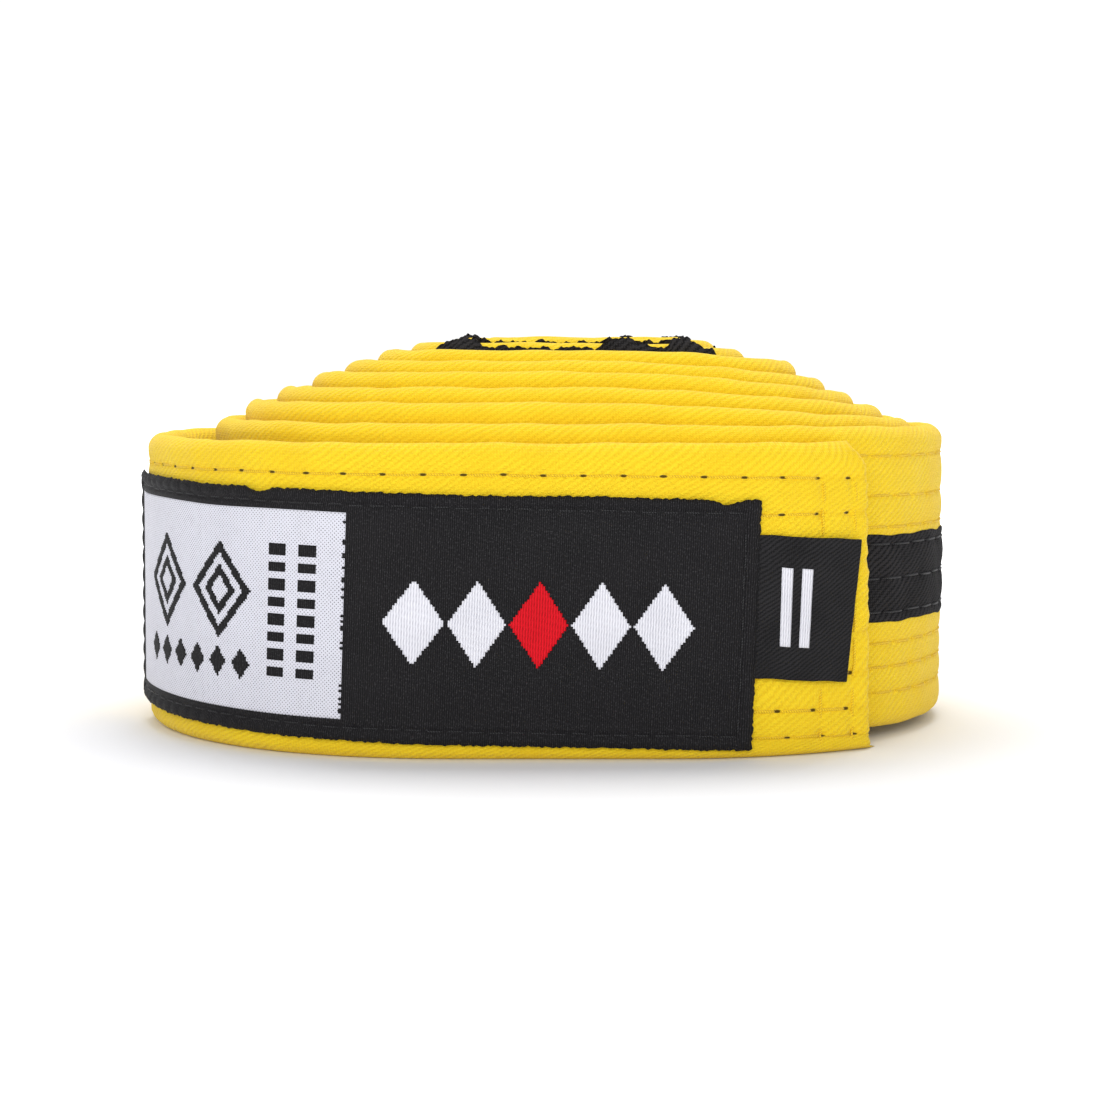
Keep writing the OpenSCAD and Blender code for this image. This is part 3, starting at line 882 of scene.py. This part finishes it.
# ---------------------------------------------------------------- the label
# Places on the label are (a, b): a runs from its right-hand end along it, b runs up from its lower edge
HEM = 2.6
HEM_SEAM = 1.7
HEM_STITCH = 2.6
NOTCHES = (4.2, 63.0)
LABEL_FACE = 2.38
LABEL_T = 0.26
HEM_RISE = 0.26
label_bow = waves([23, 37, 14], 0.035, 41)
label_ragged = waves([1.1, 0.73, 2.3, 0.51, 4.7], 0.11, 42)
label_drift = waves([33, 19, 52], 0.10, 43)


def label_place(a, b):
    """The label is sewn on a little askew: its left-hand end is higher, and its ends lean."""
    return LABEL_START + a + LABEL_LEAN * (LABEL_H - b), LABEL_LOW + b + LABEL_RISE * a / LABEL_L


def label_inset(a, b):
    return np.minimum(np.minimum(a, LABEL_L - a), np.minimum(b, LABEL_H - b))


def label_face(a, b):
    """The label's face: a folded hem with a sewn groove, puffed between its stitches."""
    a, b = np.broadcast_arrays(np.asarray(a, float), np.asarray(b, float))
    d = label_inset(a, b)
    upright = np.minimum(a, LABEL_L - a) < np.minimum(b, LABEL_H - b)
    along = np.where(upright, b, a)
    ripple = np.abs(np.sin(math.pi * along / HEM_STITCH))
    n = LABEL_FACE + label_bow(a, b) + HEM_RISE * (1 - ease((d - HEM + 0.35) / 0.5))
    n = n + 0.2 * ripple * np.exp(-((d - 0.85) / 0.5) ** 2)
    n = n - (0.26 + 0.12 * (1 - ripple)) * np.exp(-((d - HEM_SEAM) / 0.36) ** 2)
    n = n - 0.22 * np.clip(1 - d / 0.45, 0, 1) ** 2
    over_tag = ease(a / 0.8) * ease((6.5 - a) / 3) * ease((b - 6.0) / 1.6) * ease((27 - b) / 1.6)
    return n + 0.16 * over_tag


def label_back(a, b):
    """The label's back; the label thins towards its edges."""
    return label_face(a, b) - LABEL_T + 0.1 * np.clip(1 - label_inset(a, b) / 0.5, 0, 1)


def on_label(a, b, n):
    """Points in metres for places on the label, whose edges are a little ragged and notched."""
    a, b = np.broadcast_arrays(np.asarray(a, float), np.asarray(b, float))
    top = np.clip(1 - (LABEL_H - b) / 1.5, 0, 1) ** 2
    bottom = np.clip(1 - b / 1.5, 0, 1) ** 2
    right = np.clip(1 - a / 1.5, 0, 1) ** 2
    left = np.clip(1 - (LABEL_L - a) / 1.5, 0, 1) ** 2
    notch = sum(np.clip(1 - np.abs(a - at) / 2.4, 0, 1) for at in NOTCHES)
    up = b + top * (label_ragged(a) - 0.7 * notch) + bottom * label_ragged(a + 500)
    up = up + label_drift(a) * (b / LABEL_H) + 0.5 * label_drift(a + 200) * (1 - b / LABEL_H)
    along = a - right * (0.15 + label_ragged(b + 900)) + left * label_ragged(b + 1300)
    return place(*label_place(along, up), n)


def closed_patch(name, a, b, keep, top, bottom, where):
    """Cloth on a grid: the cells that keep names, with a face above, one below and walls round them."""
    grid_a, grid_b = np.meshgrid(a, b, indexing="ij")
    rows, cols = grid_a.shape
    upper = where(grid_a, grid_b, top(grid_a, grid_b)).reshape(-1, 3)
    lower = where(grid_a, grid_b, bottom(grid_a, grid_b)).reshape(-1, 3)
    index = np.arange(rows * cols).reshape(rows, cols)
    i, j = np.nonzero(keep)
    above = np.stack([index[i, j], index[i, j + 1], index[i + 1, j + 1], index[i + 1, j]], -1)
    faces = [above, above[:, ::-1] + rows * cols]
    framed = np.pad(keep, 1)
    # The four neighbours of a cell, each with the two corners that its wall stands on
    for da, db, first, second in ((-1, 0, (0, 0), (0, 1)), (0, 1, (0, 1), (1, 1)),
                                  (1, 0, (1, 1), (1, 0)), (0, -1, (1, 0), (0, 0))):
        open_side = keep & ~framed[1 + da:rows + da, 1 + db:cols + db]
        i, j = np.nonzero(open_side)
        p, q = index[i + first[0], j + first[1]], index[i + second[0], j + second[1]]
        faces.append(np.stack([p, p + rows * cols, q + rows * cols, q], -1))
    faces = np.concatenate(faces)
    points = np.concatenate([upper, lower])
    used, compact = np.unique(faces, return_inverse=True)
    flat = np.stack([np.tile(grid_a.ravel(), 2), np.tile(grid_b.ravel(), 2)], -1)
    return new_mesh(name, points[used], compact.reshape(faces.shape).tolist(), flat[faces].reshape(-1, 2))


def label_grid(a0, a1, b0, b1, cell):
    a = np.linspace(a0, a1, int(round((a1 - a0) / cell)) + 1)
    b = np.linspace(b0, b1, int(round((b1 - b0) / cell)) + 1)
    middle = np.meshgrid((a[1:] + a[:-1]) / 2, (b[1:] + b[:-1]) / 2, indexing="ij")
    return a, b, middle


a, b, middle = label_grid(0, LABEL_L, 0, LABEL_H, 0.36)
label = closed_patch("label_cloth", a, b, np.ones(middle[0].shape, bool), label_face, label_back, on_label)


def woven_patch(name, area, shape, rise, material, node, cell=0.34):
    """A patch of another colour in the weave, standing a little proud, with stepped edges."""
    a, b, middle = label_grid(*area, cell)
    made = closed_patch(name, a, b, shape(*middle), lambda a, b: label_face(a, b) + rise,
                        lambda a, b: label_face(a, b) - 0.08, on_label)
    finish_piece(made, material, "coil to tail", node, slot="label_" + name.split("_")[-1])


PANEL = (51.0, LABEL_L - HEM - 0.1, HEM + 0.1, LABEL_H - HEM - 0.1)
jag = np.random.default_rng(51).uniform(0, 0.9, 400)


def panel_shape(a, b):
    """The panel's right-hand edge steps in and out from one pick of the weave to the next."""
    return a > PANEL[0] + 0.2 * np.round(jag[(b / 0.34).astype(int)] * 0.8)


def lozenge(a, b, at_a, at_b, half_a, half_b):
    return np.abs(a - at_a) / half_a + np.abs(b - at_b) / half_b


LOZENGE_PITCH = 7.8
LOZENGE_MIDDLE = 26.8
BAND_MIDDLE = 15.4
BAND_LOZENGE = (3.7, 5.5)


def white_lozenges(a, b):
    return np.any([lozenge(a, b, LOZENGE_MIDDLE + k * LOZENGE_PITCH, BAND_MIDDLE, *BAND_LOZENGE) < 1
                   for k in (-2, -1, 1, 2)], axis=0)


def red_lozenge(a, b):
    return lozenge(a, b, LOZENGE_MIDDLE, BAND_MIDDLE, *BAND_LOZENGE) < 1


def panel_marks(a, b):
    """Two diamonds within diamonds, a row of small ones under them, and two columns of short bars."""
    shape = np.zeros(a.shape, bool)
    for at in (69.5, 82.0):
        d = lozenge(a, b, at, 18.0, 5.4, 6.4)
        shape |= ((d < 1) & (d > 0.76)) | ((d < 0.52) & (d > 0.3))
    for at in np.arange(65.6, 88, 4.1):
        shape |= lozenge(a, b, at, 8.6, 1.5, 2.0) < 1
    for at in (56.0, 60.0):
        shape |= (np.abs(a - at) < 1.2) & (b > 7.4) & (b < 25.4) & ((b - 7.4) % 2.25 < 1.3)
    return shape


woven_patch("label_panel_white", PANEL, panel_shape, 0.07, label_white, "label_panel")
woven_patch("label_panel_marks_black", (53.5, 89, 6, 26), panel_marks, 0.12, label_black, "label_marks", 0.3)
woven_patch("label_lozenges_white", (6, 48, 9.4, 21.4), white_lozenges, 0.10, mark_white, "label_band_white",
            0.28)
woven_patch("label_lozenge_red", (22, 32, 9.4, 21.4), red_lozenge, 0.10, label_red, "label_band_red", 0.28)


# Thread round the hem
def label_threads(a0, a1, b0, b1, seed):
    runs = stitch_line(a0, a1, b0, b1, label_face, 0.0, HEM_STITCH, 1, seed, sink=0.22)
    return [(*label_place(s, z), n) for s, z, n in runs]


far_a, far_b = LABEL_L - HEM_SEAM, LABEL_H - HEM_SEAM
sides = ((HEM_SEAM, far_a, HEM_SEAM, HEM_SEAM), (HEM_SEAM, far_a, far_b, far_b),
         (HEM_SEAM, HEM_SEAM, HEM_SEAM, far_b), (far_a, far_a, HEM_SEAM, far_b))
runs = []
for k, side in enumerate(sides):
    runs += label_threads(*side, seed=61 + k)
label_seam = threads("stitches_of_label", runs, 0.12, place)
finish_piece(label, label_black, "coil to tail", "label_ground", "label_hem")
finish_piece(label_seam, black_thread, "coil to tail", "label_stitching")

# ---------------------------------------------------------------- the size tag
TAG_LOW = 9.3
TAG_H = 18.2
TAG_FREE = 3.3
TAG_ROOT = 23.0
TAG_THICK = 0.16
TAG_GAP = 0.11
TAG_BEND = (place(17.7, 18, 2.2).tolist(), place(16.3, 18, 2.2).tolist())
tag_wave = waves([7.3, 4.1, 11], 0.05, 71)


def tag_stand(s):
    """How far out the middle of the ribbon's back ply stands."""
    return 1.95 + 0.5 * ease((TAG_ROOT - 5 - s) / 14)


def tag_middle():
    """The ribbon's middle as (s, n): out along the back ply, round the fold and back over it."""
    near_fold = np.arange(TAG_FREE + 1, TAG_FREE + 0.2, -0.15)
    out = np.concatenate([np.arange(TAG_ROOT, TAG_FREE + 1, -0.4), near_fold])
    stand = tag_stand(out)
    turn = np.linspace(-90, 90, 9)[1:-1]
    fold_s = TAG_FREE + 0.15 - TAG_GAP * np.cos(np.radians(turn))
    fold_n = stand[-1] + TAG_GAP + TAG_GAP * np.sin(np.radians(turn))
    s = np.concatenate([out, fold_s, out[::-1]])
    n = np.concatenate([stand, fold_n, stand[::-1] + 2 * TAG_GAP])
    return s, n


def tag_place(s, z, n):
    """The free end is cut at a slant and hangs a little."""
    t = np.clip((z - TAG_LOW) / TAG_H, 0, 1)
    reach = np.clip((TAG_ROOT - s) / (TAG_ROOT - TAG_FREE), 0, 1)
    hang = 0.9 * (s - TAG_FREE) / 12.5
    free = np.clip((16 - s) / 12, 0, 1)
    return place(s + 2.2 * (1 - t) * reach ** 2, z + hang + tag_wave(s), n + tag_wave(z + 40, s) * free)


def tag_mesh():
    s, n = tag_middle()
    ds, dn = np.gradient(s), np.gradient(n)
    size = np.hypot(ds, dn)
    side_s, side_n = dn / size * TAG_THICK / 2, -ds / size * TAG_THICK / 2
    upper_edge = [TAG_H - 0.15, TAG_H - 0.05, TAG_H]
    z = TAG_LOW + np.concatenate([[0, 0.05, 0.15], np.arange(0.6, TAG_H - 0.3, 0.5), upper_edge])
    edge = np.minimum(z - TAG_LOW, TAG_LOW + TAG_H - z)
    round_off = np.sqrt(np.clip(1 - (1 - np.clip(edge / 0.12, 0, 1)) ** 2, 0.02, 1))
    z_ring = np.concatenate([z, z[-2:0:-1]])
    half = np.concatenate([round_off, -round_off[-2:0:-1]])
    points = tag_place(s[:, None] + side_s[:, None] * half, z_ring + 0 * s[:, None],
                       n[:, None] + side_n[:, None] * half)
    rows, cols = points.shape[:2]
    along = np.concatenate([[0], np.cumsum(np.hypot(np.diff(s), np.diff(n)))])
    quads, i, j = grid_quads(rows, cols)
    v = np.concatenate([z_ring, [z_ring[0]]])
    uv = np.stack([np.stack([along[i + p], v[j + q]], -1) for p, q in CORNERS], 1)
    first, last = list(range(cols))[::-1], [(rows - 1) * cols + k for k in range(cols)]
    uvs = np.concatenate([uv.reshape(-1, 2), np.zeros((2 * cols, 2))])
    return new_mesh("size_tag_ribbon", points.reshape(-1, 3), quads.tolist() + [first, last], uvs)


tag = tag_mesh()
finish_piece(tag, tag_black, "tail to tag", "size_tag_root", "size_tag_back", "size_tag_front")


BAR_HALF = 0.05


def tag_front(s):
    """How far out the tag's front face stands."""
    return tag_stand(s) + 2 * TAG_GAP + TAG_THICK / 2


def tag_bars(a, b):
    return ((np.abs(a - 13.6) < 0.75) | (np.abs(a - 10.8) < 0.75)) & (b > 13.4) & (b < 23.6)


a, b, middle = label_grid(9.6, 14.8, 13, 24, 0.25)
bars = closed_patch("size_tag_bars", a, b, tag_bars(*middle), lambda a, b: tag_front(a) + BAR_HALF,
                    lambda a, b: tag_front(a) - BAR_HALF, tag_place)
finish_piece(bars, mark_white, "tail to tag", "size_tag_marks", slot="tag_white")

# ---------------------------------------------------------------- floor and finish
FAR = 3.0
BACK = 2.0
floor = new_mesh("floor", np.array([[-FAR, -FAR, 0], [FAR, -FAR, 0], [FAR, FAR, 0], [-FAR, FAR, 0]]),
                 [[0, 1, 2, 3]])
floor.data.materials.append(floor_white())
backdrop = new_mesh("backdrop",
                    np.array([[-FAR, BACK, 0], [FAR, BACK, 0], [FAR, BACK, FAR], [-FAR, BACK, FAR]]),
                    [[0, 1, 2, 3]])
backdrop_white = plain("backdrop_white", (0, 0, 0), 1.0)
glow = backdrop_white.node_tree.nodes["Principled BSDF"].inputs
glow["Emission Color"].default_value = (1, 1, 1, 1)
glow["Emission Strength"].default_value = 1.05
backdrop.data.materials.append(backdrop_white)
